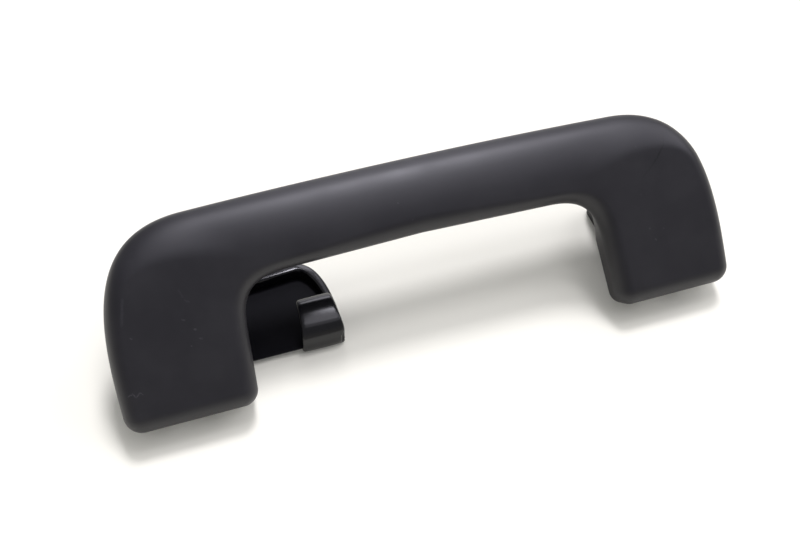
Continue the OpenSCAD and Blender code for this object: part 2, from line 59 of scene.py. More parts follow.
CIRCLE_CORNERS = 48
GRIP_BODY = "grip_body"
BRACKETS_BODY = "brackets"

Point = tuple[float, float, float]
Colour = tuple[float, float, float, float]
Piece = bpy.types.Object


# ---------------------------------------------------------------- small sums


def mix(a: float, b: float, t: float) -> float:
    """Returns the value that lies the share t of the way from a to b."""
    return a + (b - a) * t


def clamp(x: float) -> float:
    """Returns x kept between 0 and 1."""
    return min(1.0, max(0.0, x))


def ease(x: float) -> float:
    """Returns x kept between 0 and 1, slow at both ends."""
    c = clamp(x)
    return c * c * (3 - 2 * c)


def fall(radius: float, distance: float) -> float:
    """Returns how far a round of that radius falls back at a distance from its end."""
    if distance >= radius:
        return 0.0
    return radius - math.sqrt(radius * radius - (radius - distance) ** 2)


def bezier(a: Vector, b: Vector, c: Vector, d: Vector, t: float) -> Vector:
    """Returns the point at t on the cubic curve with these four control points."""
    s = 1 - t
    return a * s**3 + b * (3 * s * s * t) + c * (3 * s * t * t) + d * t**3


def steps(count: int, end: bool = False) -> list[float]:
    """Returns count even shares from 0 up, and 1 as well if end is set."""
    return [k / count for k in range(count + (1 if end else 0))]


def circle(x: float, y: float, radius: float) -> list[tuple[float, float]]:
    """Returns the corners of a circle round x, y."""
    turn = [k * math.tau / CIRCLE_CORNERS for k in range(CIRCLE_CORNERS)]
    return [(x + radius * math.cos(a), y + radius * math.sin(a)) for a in turn]


# ---------------------------------------------------------------- shaders


class Value:
    """A number socket of a material that Python expressions work on."""

    def __init__(self, shader: "Shader", socket: bpy.types.NodeSocket) -> None:
        """Keeps the socket and the shader whose tree it is in."""
        self.shader = shader
        self.socket = socket

    def _math(self, operation: str, first: object, second: object) -> "Value":
        """Returns the result of a Math node on two values."""
        return self.shader.add("ShaderNodeMath", {"operation": operation}, {0: first, 1: second})

    def __add__(self, other: object) -> "Value":
        """Returns self + other."""
        return self._math("ADD", self, other)

    __radd__ = __add__

    def __sub__(self, other: object) -> "Value":
        """Returns self - other."""
        return self._math("SUBTRACT", self, other)

    def __rsub__(self, other: object) -> "Value":
        """Returns other - self."""
        return self._math("SUBTRACT", other, self)

    def __mul__(self, other: object) -> "Value":
        """Returns self * other."""
        return self._math("MULTIPLY", self, other)

    def at_most(self, other: object) -> "Value":
        """Returns the smaller of the two."""
        return self._math("MINIMUM", self, other)

    def at_least(self, other: object) -> "Value":
        """Returns the larger of the two."""
        return self._math("MAXIMUM", self, other)

    def between(self, low: float, high: float) -> "Value":
        """Returns 0 below low, 1 above high and an eased rise in between. Low may be above high."""
        flipped = low > high
        settings = {"interpolation_type": "SMOOTHSTEP", "clamp": True}
        ends = {"From Min": min(low, high), "From Max": max(low, high)}
        rise = self.shader.add("ShaderNodeMapRange", settings, {"Value": self, **ends})
        return 1.0 - rise if flipped else rise


class Shader:
    """A material or world under construction, with its nodes added one call at a time."""

    def __init__(self, name: str, world: bool = False) -> None:
        """Makes the material, or the world, with an empty tree and an output node."""
        self.made = (bpy.data.worlds if world else bpy.data.materials).new(name)
        self.made.use_nodes = True
        self.tree = self.made.node_tree
        self.tree.nodes.clear()
        self.output = self.tree.nodes.new("ShaderNodeOutputWorld" if world else "ShaderNodeOutputMaterial")

    def add(
        self, kind: str, settings: Optional[dict] = None, sockets: Optional[dict] = None, out: object = 0
    ) -> Value:
        """Adds one node.

        Args:
            kind: the node's type.
            settings: its own settings, set before its sockets.
            sockets: values or links by socket name or number.
            out: the output that is wanted, by name or number.

        Returns:
            The output as a Value.
        """
        node = self.tree.nodes.new(kind)
        for key, value in (settings or {}).items():
            setattr(node, key, value)
        for key, value in (sockets or {}).items():
            socket = node.inputs[key]
            if isinstance(value, Value):
                self.tree.links.new(value.socket, socket)
            else:
                socket.default_value = value
        return Value(self, node.outputs[out])

    def place(self) -> Value:
        """Returns the Object coordinates."""
        return self.add("ShaderNodeTexCoord", None, None, "Object")

    def noise(
        self, vector: Value, size_mm: float, detail: float = 2.0, rough: float = 0.5, per_m: bool = True
    ) -> Value:
        """Returns noise with features of that size.

        Args:
            vector: the coordinates it runs on.
            size_mm: the size of its features.
            detail: how many finer layers it has.
            rough: how strong they are.
            per_m: True for coordinates in metres, False for millimetres.

        Returns:
            The noise, from 0 to 1.
        """
        scale = 1.0 / (size_mm * (MM if per_m else 1.0))
        sockets = {"Vector": vector, "Scale": scale, "Detail": detail, "Roughness": rough}
        return self.add("ShaderNodeTexNoise", None, sockets, "Fac")

    def blend(self, first: object, second: object, factor: object) -> Value:
        """Returns first turning into second, both colours, as factor goes from 0 to 1."""
        sockets = {0: factor, 6: first, 7: second}
        return self.add("ShaderNodeMix", {"data_type": "RGBA"}, sockets, 2)

    def bump(
        self, height: Value, strength: float, depth_mm: float, normal: Optional[Value] = None
    ) -> Value:
        """Returns the normal that a height between 0 and 1 gives at that depth."""
        sockets = {"Strength": strength, "Distance": depth_mm * MM, "Height": height}
        if normal is not None:
            sockets["Normal"] = normal
        return self.add("ShaderNodeBump", None, sockets)

    def mapping(self, vector: Value, **sockets: object) -> Value:
        """Returns the coordinates moved, turned or scaled by a Mapping node with these sockets."""
        return self.add("ShaderNodeMapping", {"vector_type": "POINT"}, {"Vector": vector, **sockets})

    def vector_math(self, operation: str, sockets: dict, out: object = 0) -> Value:
        """Returns an output of a Vector Math node."""
        return self.add("ShaderNodeVectorMath", {"operation": operation}, sockets, out)

    def end(self, last: Value) -> bpy.types.ID:
        """Links the last shader to the output and returns the finished material or world."""
        self.tree.links.new(last.socket, self.output.inputs["Surface"])
        return self.made

    def surface(self, **sockets: object) -> bpy.types.Material:
        """Ends the material in a Principled shader.

        Args:
            **sockets: its sockets, with _ for a space in each name.

        Returns:
            The finished material.
        """
        named = {key.replace("_", " "): value for key, value in sockets.items()}
        return self.end(self.add("ShaderNodeBsdfPrincipled", None, named))


# ---------------------------------------------------------------- finishes


class Slot(Enum):
    """The record's material slots."""

    GRIP = "grip_plastic"
    BRACKET = "bracket_plastic"
    HOOK = "hook_plastic"
    PIN = "pin_steel"
    RING = "ring_steel"
    BUSH = "bush_plastic"
    SPRING = "spring_steel"
    DAMPER = "damper_plastic"
    SLEEVE = "sleeve_steel"
    STOP = "stop_rubber"
    COVER = "cover_plastic"


def colour(red: float, green: float, blue: float) -> Colour:
    """Returns an opaque linear colour."""
    return (red, green, blue, 1.0)


@dataclass(frozen=True)
class Mark:
    """A scratch or speck on the grip's face, in the grip's own millimetres."""

    start: tuple[float, float]
    end: tuple[float, float]
    width: float
    strength: float


@dataclass(frozen=True)
class GripPlastic:
    """The grip's satin charcoal plastic with a fine grain, handled and lightly scratched."""

    base: Colour = colour(0.0118, 0.0112, 0.0145)
    worn: Colour = colour(0.0185, 0.0178, 0.0212)
    light_mark: Colour = colour(0.080, 0.077, 0.086)
    dark_mark: Colour = colour(0.006, 0.006, 0.008)
    roughness: float = 0.43
    specular: float = 0.42
    waver_mm: float = 0.9
    waver_scale: float = 0.9
    front_from: float = -7.0
    front_to: float = -4.0
    cloud_mm: float = 26.0
    patch_mm: float = 7.0
    dust_mm: float = 1.1
    dust_strength: float = 0.16
    hair_strength: float = 0.10
    hair_turn: float = 0.5
    hair_stretch: Point = (0.05, 1.6, 1.0)
    grain_mm: float = 0.34
    grain_depth: float = 0.035
    flow_mm: float = 9.0
    flow_depth: float = 0.10
    mark_depth: float = 0.05
    light_marks: tuple[Mark, ...] = (
        Mark((-123.2, 15.9), (-121.6, 16.6), 0.35, 0.50),
        Mark((-121.6, 16.6), (-120.5, 15.0), 0.35, 0.50),
        Mark((-120.5, 15.0), (-118.8, 16.2), 0.35, 0.50),
        Mark((-118.8, 16.2), (-117.9, 15.2), 0.30, 0.45),
        Mark((-117.0, 51.3), (-119.3, 42.4), 0.80, 0.16),
        Mark((-117.3, 36.9), (-117.1, 36.6), 0.45, 0.50),
        Mark((-96.7, 50.1), (-95.6, 47.2), 0.40, 0.13),
        Mark((-95.1, 45.8), (-94.0, 44.9), 0.45, 0.16),
        Mark((-97.8, 38.9), (-97.0, 38.6), 0.50, 0.28),
        Mark((-94.2, 34.5), (-93.9, 34.3), 0.55, 0.42),
        Mark((-93.0, 30.7), (-92.4, 30.5), 0.45, 0.28),
        Mark((-96.9, 28.6), (-96.7, 28.5), 0.40, 0.30),
        Mark((-8.5, 63.4), (-8.3, 63.3), 0.45, 0.35),
        Mark((-4.4, 55.7), (-4.2, 55.6), 0.45, 0.35),
        Mark((92.9, 30.0), (93.2, 29.6), 0.45, 0.32),
        Mark((94.6, 25.0), (94.9, 24.6), 0.50, 0.36),
        Mark((99.0, 28.6), (99.3, 28.4), 0.40, 0.28),
        Mark((91.7, 44.5), (91.9, 44.2), 0.40, 0.25),
        Mark((93.5, 64.0), (94.0, 63.7), 0.40, 0.22),
    )
    dark_marks: tuple[Mark, ...] = (
        Mark((107.4, 66.7), (105.6, 61.8), 0.45, 0.55),
        Mark((105.6, 61.8), (102.4, 58.0), 0.50, 0.65),
        Mark((102.4, 58.0), (98.6, 54.4), 0.45, 0.55),
        Mark((98.6, 54.4), (94.3, 51.2), 0.40, 0.40),
    )

    def _mark_mask(self, shader: Shader, face: Value, marks: Iterable[Mark]) -> Value:
        """Returns a mask of the marks, each as strong as it says, on coordinates u, v, 0."""
        mask: Optional[Value] = None
        for mark in marks:
            start = (*mark.start, 0.0)
            run = Vector((*mark.end, 0.0)) - Vector(start)
            arm = shader.vector_math("SUBTRACT", {0: face, 1: start})
            length = run.length
            unit = tuple(run / length)
            along = shader.vector_math("DOT_PRODUCT", {0: arm, 1: unit}, "Value")
            along = along.at_least(0.0).at_most(length)
            foot = shader.vector_math("SCALE", {0: unit, "Scale": along})
            off = shader.vector_math("DISTANCE", {0: arm, 1: foot}, "Value")
            drawn = off.between(mark.width, mark.width * 0.25) * mark.strength
            mask = drawn if mask is None else mask.at_least(drawn)
        return mask

    def make(self, to_face: Matrix) -> bpy.types.Material:
        """Makes the material.

        Args:
            to_face: turns a place in metres into the grip's own u, v, w in millimetres.

        Returns:
            The finished material.
        """
        shader = Shader("grip_satin_charcoal")
        own = shader.mapping(
            shader.place(),
            Location=to_face.to_translation(),
            Rotation=to_face.to_euler(),
            Scale=(1 / MM, 1 / MM, 1 / MM),
        )
        depth = shader.add("ShaderNodeSeparateXYZ", None, {"Vector": own}, "Z")
        face = shader.vector_math("MULTIPLY", {0: own, 1: (1.0, 1.0, 0.0)})
        sockets = {"Vector": face, "Scale": self.waver_scale, "Detail": 2.0}
        wobble = shader.add("ShaderNodeTexNoise", None, sockets, "Color")
        waver, middle = (self.waver_mm, self.waver_mm, 0.0), (self.waver_mm / 2, self.waver_mm / 2, 0.0)
        drift = shader.vector_math("MULTIPLY_ADD", {0: wobble, 1: waver, 2: face})
        face = shader.vector_math("SUBTRACT", {0: drift, 1: middle})
        front = depth.between(self.front_from, self.front_to)
        light = self._mark_mask(shader, face, self.light_marks) * front
        dark = self._mark_mask(shader, face, self.dark_marks) * front
        broken = shader.noise(own, 0.5, 2.0, 0.6, per_m=False).between(0.25, 0.6)
        clouds = shader.noise(own, self.cloud_mm, 4.0, 0.55, per_m=False)
        patches = shader.noise(own, self.patch_mm, 3.0, 0.6, per_m=False)
        dust = shader.noise(own, self.dust_mm, 2.0, 0.7, per_m=False).between(0.735, 0.80)
        dust = dust * patches.between(0.45, 0.62)
        hairlines = shader.mapping(own, Rotation=(0, 0, self.hair_turn), Scale=self.hair_stretch)
        hair = shader.noise(hairlines, 1.0, 1.0, 0.5, per_m=False).between(0.70, 0.74)
        hair = hair * clouds.between(0.5, 0.7)
        scuffs = (dust * self.dust_strength + hair * self.hair_strength) * front
        skin = shader.blend(self.base, self.worn, clouds.between(0.38, 0.68) * 0.55 + patches * 0.25)
        skin = shader.blend(skin, self.light_mark, (light * broken).at_least(scuffs))
        skin = shader.blend(skin, self.dark_mark, dark)
        gloss = self.roughness + (clouds - 0.5) * 0.16 + (patches - 0.5) * 0.10
        gloss = gloss + light * 0.15 + scuffs * 0.5 - dark * 0.12
        grain = shader.noise(own, self.grain_mm, 2.0, 0.55, per_m=False)
        normal = shader.bump(grain, 0.30, self.grain_depth)
        flow = shader.noise(own, self.flow_mm, 2.0, 0.5, per_m=False)
        normal = shader.bump(flow, 0.25, self.flow_depth, normal)
        normal = shader.bump(1.0 - (light.at_least(dark)), 0.35, self.mark_depth, normal)
        return shader.surface(
            Base_Color=skin, Roughness=gloss, Normal=normal, Specular_IOR_Level=self.specular
        )


@dataclass(frozen=True)
class MouldedPlastic:
    """A moulded plastic of one colour with flow marks, grain and, where it has glass in it, pale fibres.

    Polish is the gloss of everything but its flat face at height matt_at, which stays matt.
    """

    name: str
    base: Colour
    pale: Colour
    roughness: float
    grain_mm: float
    grain_depth: float
    specular: float = 0.45
    glass_fill: float = 0.0
    polish: float = 0.0
    polish_roughness: float = 0.16
    matt_at: float = 0.0
    matt_half: float = 0.06

    def make(self) -> bpy.types.Material:
        """Makes the material and returns it."""
        shader = Shader(self.name)
        place = shader.place()
        clouds = shader.noise(place, 14.0, 4.0, 0.55)
        grain = shader.noise(place, self.grain_mm, 3.0, 0.6)
        fibres = shader.mapping(place, Rotation=(0.3, 0.2, 0.6), Scale=(1, 5, 5))
        streaks = shader.noise(fibres, 1.2, 2.0, 0.6).between(0.55, 0.75) * self.glass_fill
        tone = clouds.between(0.35, 0.7) * 0.6 + streaks * 0.4
        skin = shader.blend(self.base, self.pale, tone)
        gloss = self.roughness + (clouds - 0.5) * 0.14 + streaks * 0.10
        normal = shader.bump(grain, 0.35, self.grain_depth)
        sockets = {"Base_Color": skin, "Roughness": gloss, "Normal": normal}
        sockets["Specular_IOR_Level"] = self.specular
        if self.polish > 0:
            height = shader.add("ShaderNodeSeparateXYZ", None, {"Vector": place}, "Z") * (1 / MM)
            top, low = self.matt_at + self.matt_half, self.matt_at - self.matt_half
            outside = height.between(top, top + 0.1) + height.between(low, low - 0.1)
            sockets["Coat_Weight"] = outside * self.polish
            sockets["Coat_Roughness"] = self.polish_roughness
        return shader.surface(**sockets)


@dataclass(frozen=True)
class Steel:
    """A plated or drawn steel with fine lines along one axis and faint stains."""

    name: str
    base: Colour
    stain: Colour
    roughness: float
    lines: Point

    def make(self) -> bpy.types.Material:
        """Makes the material and returns it."""
        shader = Shader(self.name)
        place = shader.place()
        drawn = shader.mapping(place, Scale=self.lines)
        brush = shader.noise(drawn, 0.5, 3.0, 0.65)
        clouds = shader.noise(place, 4.0, 3.0, 0.6)
        skin = shader.blend(self.base, self.stain, clouds.between(0.45, 0.75) * 0.7)
        gloss = self.roughness + (brush - 0.5) * 0.22 + clouds.between(0.5, 0.8) * 0.15
        normal = shader.bump(brush, 0.25, 0.01)
        return shader.surface(Base_Color=skin, Metallic=1.0, Roughness=gloss, Normal=normal)


@dataclass(frozen=True)
class Floor:
    """The pale table top, a little warm, on which the handle lies.

    Haze is the share of plain white that the camera sees in it.
    """

    base: Colour = colour(0.950, 0.940, 0.815)
    pale: Colour = colour(0.960, 0.952, 0.830)
    cloud_mm: float = 220.0
    haze: float = 0.06

    def make(self) -> bpy.types.Material:
        """Makes the material and returns it."""
        shader = Shader("pale_table")
        clouds = shader.noise(shader.place(), self.cloud_mm)
        skin = shader.blend(self.base, self.pale, clouds)
        sockets = {"Base Color": skin, "Roughness": 0.85, "Specular IOR Level": 0.1}
        board = shader.add("ShaderNodeBsdfPrincipled", None, sockets)
        glow = shader.add("ShaderNodeEmission", None, {"Color": colour(1.0, 1.0, 1.0), "Strength": 1.0})
        seen = shader.add("ShaderNodeLightPath", None, None, "Is Camera Ray") * self.haze
        return shader.end(shader.add("ShaderNodeMixShader", None, {0: seen, 1: board, 2: glow}))


# ---------------------------------------------------------------- mesh work


class Bench:
    """The workbench: the mesh operations that every piece is made with."""

    merge_mm = 0.002
    flat_within = 0.5

    @staticmethod
    def clear_selection() -> None:
        """Leaves edit mode and deselects everything."""
        if bpy.context.object is not None and bpy.context.object.mode != "OBJECT":
            bpy.ops.object.mode_set(mode="OBJECT")
        bpy.ops.object.select_all(action="DESELECT")

    @classmethod
    def pick(cls, obj: Piece) -> Piece:
        """Selects one object and makes it active, and returns it."""
        cls.clear_selection()
        obj.select_set(True)
        bpy.context.view_layer.objects.active = obj
        return obj

    @classmethod
    def loft(cls, name: str, rings: Sequence[Sequence[Point]]) -> Piece:
        """Draws the first ring as a circle, extrudes it from ring to ring and closes both ends.

        Args:
            name: the new object's name.
            rings: closed rings of the same number of points, in metres.

        Returns:
            The closed object, facing outwards.
        """
        cls.clear_selection()
        count = len(rings[0])
        bpy.ops.mesh.primitive_circle_add(vertices=count, radius=0.01, enter_editmode=True)
        obj = bpy.context.object
        obj.name = obj.data.name = name
        bpy.ops.mesh.select_mode(type="VERT")
        mesh = bmesh.from_edit_mesh(obj.data)
        mesh.verts.ensure_lookup_table()
        order = list(range(count))
        for index, point in zip(order, rings[0]):
            mesh.verts[index].co = point
        bmesh.update_edit_mesh(obj.data)
        for ring in rings[1:]:
            bpy.ops.mesh.extrude_region_move()
            mesh = bmesh.from_edit_mesh(obj.data)
            mesh.verts.ensure_lookup_table()
            order = [cls._next_vertex(mesh.verts[index]) for index in order]
            for index, point in zip(order, ring):
                mesh.verts[index].co = point
            bmesh.update_edit_mesh(obj.data)
        bpy.ops.mesh.edge_face_add()
        bpy.ops.mesh.select_all(action="DESELECT")
        mesh = bmesh.from_edit_mesh(obj.data)
        for edge in mesh.edges:
            edge.select = edge.is_boundary
        mesh.select_flush(True)
        bmesh.update_edit_mesh(obj.data)
        bpy.ops.mesh.edge_face_add()
        bpy.ops.mesh.select_all(action="SELECT")
        bpy.ops.mesh.normals_make_consistent(inside=False)
        bpy.ops.object.mode_set(mode="OBJECT")
        return obj

    @staticmethod
    def _next_vertex(vertex: bmesh.types.BMVert) -> int:
        """Returns the number of the vertex that the extrusion made out of this one."""
        for edge in vertex.link_edges:
            other = edge.other_vert(vertex)
            if other.select:
                return other.index
        raise RuntimeError("the extrusion left no new vertex")

    @classmethod
    def prism(cls, name: str, outline: Sequence[Point], push: Point) -> Piece:
        """Draws a closed outline, fills it and extrudes it by push.

        Args:
            name: the new object's name.
            outline: its corners in metres.
            push: the extrusion in metres.

        Returns:
            The closed object, facing outwards.
        """
        cls.clear_selection()
        bpy.ops.mesh.primitive_circle_add(vertices=len(outline), radius=0.01, enter_editmode=True)
        obj = bpy.context.object
        obj.name = obj.data.name = name
        mesh = bmesh.from_edit_mesh(obj.data)
        mesh.verts.ensure_lookup_table()
        for vertex, point in zip(mesh.verts, outline):
            vertex.co = point
        bmesh.update_edit_mesh(obj.data)
        bpy.ops.mesh.edge_face_add()
        bpy.ops.mesh.extrude_region_move(TRANSFORM_OT_translate={"value": push})
        bpy.ops.mesh.select_all(action="SELECT")
        bpy.ops.mesh.normals_make_consistent(inside=False)
        bpy.ops.object.mode_set(mode="OBJECT")
        return obj

    @classmethod
    def modify(cls, obj: Piece, kind: str, **settings: object) -> Piece:
        """Adds a modifier with these settings, applies it and returns the object."""
        cls.pick(obj)
        modifier = obj.modifiers.new(kind.lower(), kind)
        for key, value in settings.items():
            setattr(modifier, key, value)
        bpy.ops.object.modifier_apply(modifier=modifier.name)
        return obj

    @classmethod
    def bevel(
        cls, obj: Piece, width_mm: float, segments: int = 3, angle: float = 30.0
    ) -> Piece:
        """Rounds the edges that turn by more than an angle, and returns the object."""
        return cls.modify(
            obj,
            "BEVEL",
            width=width_mm * MM,
            segments=segments,
            limit_method="ANGLE",
            angle_limit=math.radians(angle),
            use_clamp_overlap=True,
        )

    @classmethod
    def combine(cls, obj: Piece, tool: Piece, operation: str) -> Piece:
        """Unites obj with tool or cuts tool out of it, removes tool and returns obj."""
        cls.modify(obj, "BOOLEAN", operation=operation, solver="EXACT", object=tool)
        bpy.data.objects.remove(tool)
        return obj

    @classmethod
    def shade(cls, obj: Piece, angle: float = 35.0) -> Piece:
        """Shades smooth except at edges that turn by more than an angle, and returns the object."""
        cls.pick(obj)
        bpy.ops.object.shade_smooth_by_angle(angle=math.radians(angle))
        return obj

    @classmethod
    def copy_node(cls, node: Piece, name: str) -> Piece:
        """Copies a CAD node's mesh into a new object, merged and with its flat faces whole."""
        cls.clear_selection()
        obj = bpy.data.objects.new(name, node.data.copy())
        obj.data.name = name
        bpy.context.scene.collection.objects.link(obj)
        cls.pick(obj)
        bpy.ops.object.mode_set(mode="EDIT")
        bpy.ops.mesh.select_all(action="SELECT")
        bpy.ops.mesh.remove_doubles(threshold=cls.merge_mm * MM)
        bpy.ops.mesh.dissolve_limited(angle_limit=math.radians(cls.flat_within))
        bpy.ops.object.mode_set(mode="OBJECT")
        return obj

    @staticmethod
    def dress(obj: Piece, material: bpy.types.Material) -> None:
        """Gives the object one material."""
        obj.data.materials.clear()
        obj.data.materials.append(material)

    @classmethod
    def mount(cls, obj: Piece, body: str, slot: Slot, *nodes: str) -> None:
        """Makes the piece stand for CAD nodes and ride on their body."""
        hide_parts(*nodes)
        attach(obj, body)
        LOG.info("%s: %d faces, rides on %s", obj.name, len(obj.data.polygons), body)


# ---------------------------------------------------------------- the hinge's place


@dataclass(frozen=True)
class Hinge:
    """Where the grip hangs: its axis, and how the folded grip leans."""

    back: float = 28.0
    rise: float = 14.0
    along_face: float = 11.0
    behind_face: float = 8.0
    tilt: float = 43.0

    def place(self, u: float, v: float, w: float) -> Point:
        """Returns the point of the grip's own u, v, w in the frame, in metres."""
        c, s = math.cos(math.radians(self.tilt)), math.sin(math.radians(self.tilt))
        dv, dw = v - self.along_face, w + self.behind_face
        return (u * MM, (-self.back + c * dv - s * dw) * MM, (self.rise + s * dv + c * dw) * MM)

    def to_face(self) -> Matrix:
        """Returns the move from the frame, scaled to millimetres, into the grip's own u, v, w."""
        turn = Matrix.Rotation(-math.radians(self.tilt), 4, "X")
        to_axis = Matrix.Translation((0.0, self.back, -self.rise))
        return Matrix.Translation((0.0, self.along_face, -self.behind_face)) @ turn @ to_axis


# ---------------------------------------------------------------- the grip


@dataclass
class Grip:
    """The one-piece grip: an oval bar, two broad legs hollow from behind, and four cheeks in them.

    Sizes are in its own millimetres: u along the bar, v up the face from the legs' ends, w out of the face.
    Shares run from the bar to the leg along the shoulder.
    """

    hinge: Hinge
    half_length: float = 127.4
    height: float = 79.1
    top_fall: float = 1.3
    shoulder_start: float = 88.0
    shoulder_foot: float = 20.0
    shoulder_reach: float = 0.76
    shoulder_rise: float = 0.63
    side_lean: float = 0.4
    bar_bottom: float = 49.3
    corner_drop: float = 1.3
    corner_draft: float = 2.0
    corner_reach: float = 0.78
    corner_rise: float = 0.68
    half_gap: float = 76.2
    gap_lean: float = 1.6
    inner_foot: float = 29.0
    inner_head: float = 54.0
    outer_corner_r: float = 7.0
    inner_corner_r: float = 6.0
    bar_thickness: float = 20.0
    leg_depth: float = 13.2
    leg_edge_r: float = 6.5
    bar_edge_r: float = 7.0
    bar_slope: float = 0.74
    bar_fall: float = 11.0
    bar_back_r: float = 8.5
    leg_back_r: float = 0.8
    end_edge_r: float = 6.5
    least_r: float = 0.6
    face_crown: float = 1.0
    bar_bow: float = 1.8
    wall: float = 2.5
    bar_share: float = 0.62
    soft_share: float = 0.95
    hollow_from: float = 0.42
    hollow_over: float = 0.16
    bracket_x: float = 100.0
    cheek_in: float = 12.3
    cheek_t: float = 3.0
    cheek_r: float = 5.0
    cheek_height: float = 17.0
    cheek_root: float = 3.0
    bush_r: float = 3.17
    bar_steps: int = 22
    shoulder_steps: int = 44
    leg_steps: int = 5
    arc_steps: int = 10
    finish: GripPlastic = field(default_factory=GripPlastic)

    def top_edge(self, t: float) -> Vector:
        """Returns the bar's upper edge at t, from mid span to the shoulder."""
        start, end = Vector((0, self.height)), Vector((self.shoulder_start, self.height - self.top_fall))
        first = Vector((self.shoulder_start * 0.35, self.height))
        second = Vector((self.shoulder_start * 0.7, self.height - self.top_fall * 0.35))
        return bezier(start, first, second, end, t)

    def shoulder(self, t: float) -> Vector:
        """Returns the shoulder's outline at t, down to the leg's outer side."""
        head = Vector((self.shoulder_start, self.height - self.top_fall))
        foot = Vector((self.half_length, self.shoulder_foot))
        reach = (self.half_length - self.shoulder_start) * self.shoulder_reach
        first = head + Vector((reach, -self.top_fall * 0.4))
        second = foot + Vector((0, (self.height - self.shoulder_foot) * self.shoulder_rise))
        return bezier(head, first, second, foot, t)

    def outer_side(self, v: float) -> Vector:
        """Returns the leg's outer side at height v."""
        return Vector((self.half_length - self.side_lean * (1 - v / self.shoulder_foot) ** 2, v))

    def bar_edge(self, t: float) -> Vector:
        """Returns the bar's lower edge at t, from mid span to the inner corner."""
        end = Vector((self.inner_head, self.bar_bottom - self.corner_drop))
        return Vector((0, self.bar_bottom)).lerp(end, t)

    def inner_corner(self, t: float) -> Vector:
        """Returns the inner corner's outline at t, down to the leg's inner side."""
        head = Vector((self.inner_head, self.bar_bottom - self.corner_drop))
        foot = Vector((self.half_gap - self.gap_lean, self.inner_foot))
        first = head + Vector(((foot.x - head.x) * self.corner_reach, -0.4))
        second = foot + Vector((-0.8, (head.y - foot.y) * self.corner_rise))
        return bezier(head, first, second, foot, t)

    def inner_side(self, v: float) -> Vector:
        """Returns the leg's inner side at height v."""
        foot = Vector((self.half_gap - self.gap_lean, self.inner_foot))
        return Vector((self.half_gap, 0)).lerp(foot, v / self.inner_foot)

    def section(
        self,
        outer: Vector,
        inner: Vector,
        bar: float,
        soft: float,
        hollow: float,
        from_end: float = 99.0,
        draft: float = 0.0,
    ) -> list[Point]:
        """Draws one section of the grip.

        Args:
            outer: its outer outline point, in u and v.
            inner: its inner outline point.
            bar: 1 for the bar's section, 0 for the leg's.
            soft: the same for the back edges.
            hollow: 0 where it is solid, 1 where it is hollow.
            from_end: the distance from the leg's end.
            draft: how far the back edge of the inner side leans into the leg.

        Returns:
            The ring's points in u, v, w.
        """
        span = (outer - inner).length
        along = (outer - inner) / span
        start = inner + along * fall(self.inner_corner_r, from_end)
        width = span - fall(self.inner_corner_r, from_end) - fall(self.outer_corner_r, from_end)
        drop = fall(self.end_edge_r, from_end)
        bow = self.bar_bow * clamp(1 - ((outer.x + inner.x) / (self.half_length + self.half_gap)) ** 2)
        top = bow - drop
        back = bow * bar - mix(self.leg_depth, self.bar_thickness, bar)
        front_r = max(self.least_r, mix(self.leg_edge_r, self.bar_edge_r, bar) - drop)
        slope_w = max(self.least_r, mix(self.leg_edge_r, self.bar_slope * width, bar) - drop)
        slope_h = max(self.least_r, mix(self.leg_edge_r, self.bar_fall, bar) - drop)
        back_r = mix(self.leg_back_r, self.bar_back_r, soft)
        rim = max(self.wall, back_r + 0.3)
        roof = mix(back, top - self.wall, hollow)
        turn = [k * math.pi / 2 / self.arc_steps for k in range(self.arc_steps + 1)]
        arc = [(math.cos(a), math.sin(a)) for a in turn]
        flat = [(draft + back_r * (1 - s), back + back_r * (1 - c), 0.0) for c, s in arc]
        flat += [(front_r * (1 - c), top - front_r * (1 - s), s) for c, s in arc]
        flat += [(mix(front_r, width - slope_w, k / 6), top, 1.0) for k in range(1, 6)]
        flat += [(width - slope_w * (1 - s), top - slope_h * (1 - c), c) for c, s in arc]
        flat += [(width - back_r * (1 - c), back + back_r * (1 - s), 0.0) for c, s in arc]
        lead = min(0.4, 0.4 * hollow + 0.01)
        round_in = mix(0.05, 0.8, hollow)
        half = [
            (rim - lead, back, 0.0),
            (rim, back + lead * hollow, 0.0),
            (rim + 0.5, mix(back, roof, 0.75), hollow),
            (rim + 0.8 + round_in * 0.3, mix(back, roof, 0.96), hollow),
            (rim + 0.8 + round_in, roof, hollow),
        ]
        flat += [(width - a, w, s) for a, w, s in half] + [(width / 2, roof, hollow)]
        flat += [(a + draft, w, s) for a, w, s in reversed(half)]
        ring = []
        for a, w, share in flat:
            uv = start + along * a
            t = clamp(uv.y / self.height)
            ring.append((uv.x, uv.y, w + share * self.face_crown * 4 * t * (1 - t)))
        return ring

    def half_sections(self) -> list[list[Point]]:
        """Returns the sections of the right half, from mid span to the leg's end."""
        rows = [self.section(self.top_edge(t), self.bar_edge(t), 1, 1, 0) for t in steps(self.bar_steps)]
        for t in steps(self.shoulder_steps):
            bar, soft = 1 - ease(t / self.bar_share), 1 - ease(t / self.soft_share)
            hollow = clamp((t - self.hollow_from) / self.hollow_over)
            draft = self.corner_draft * 4 * t * (1 - t)
            rows.append(self.section(self.shoulder(t), self.inner_corner(t), bar, soft, hollow, draft=draft))
        first_cut = self.outer_corner_r
        for t in steps(self.leg_steps):
            outer = self.outer_side(mix(self.shoulder_foot, first_cut + 1, t))
            rows.append(self.section(outer, self.inner_side(mix(self.inner_foot, first_cut + 1, t)), 0, 0, 1))
        inside = [first_cut, 6.2, 5.4, 4.6, 3.9, self.wall + 0.9, self.wall + 0.3]
        for cut in inside + [2.1, 1.6, 1.15, 0.75, 0.42, 0.18, 0.05, 0.0]:
            hollow = 1.0 if cut > self.wall else 0.0
            rows.append(self.section(self.outer_side(cut), self.inner_side(cut), 0, 0, hollow, cut))
        return rows

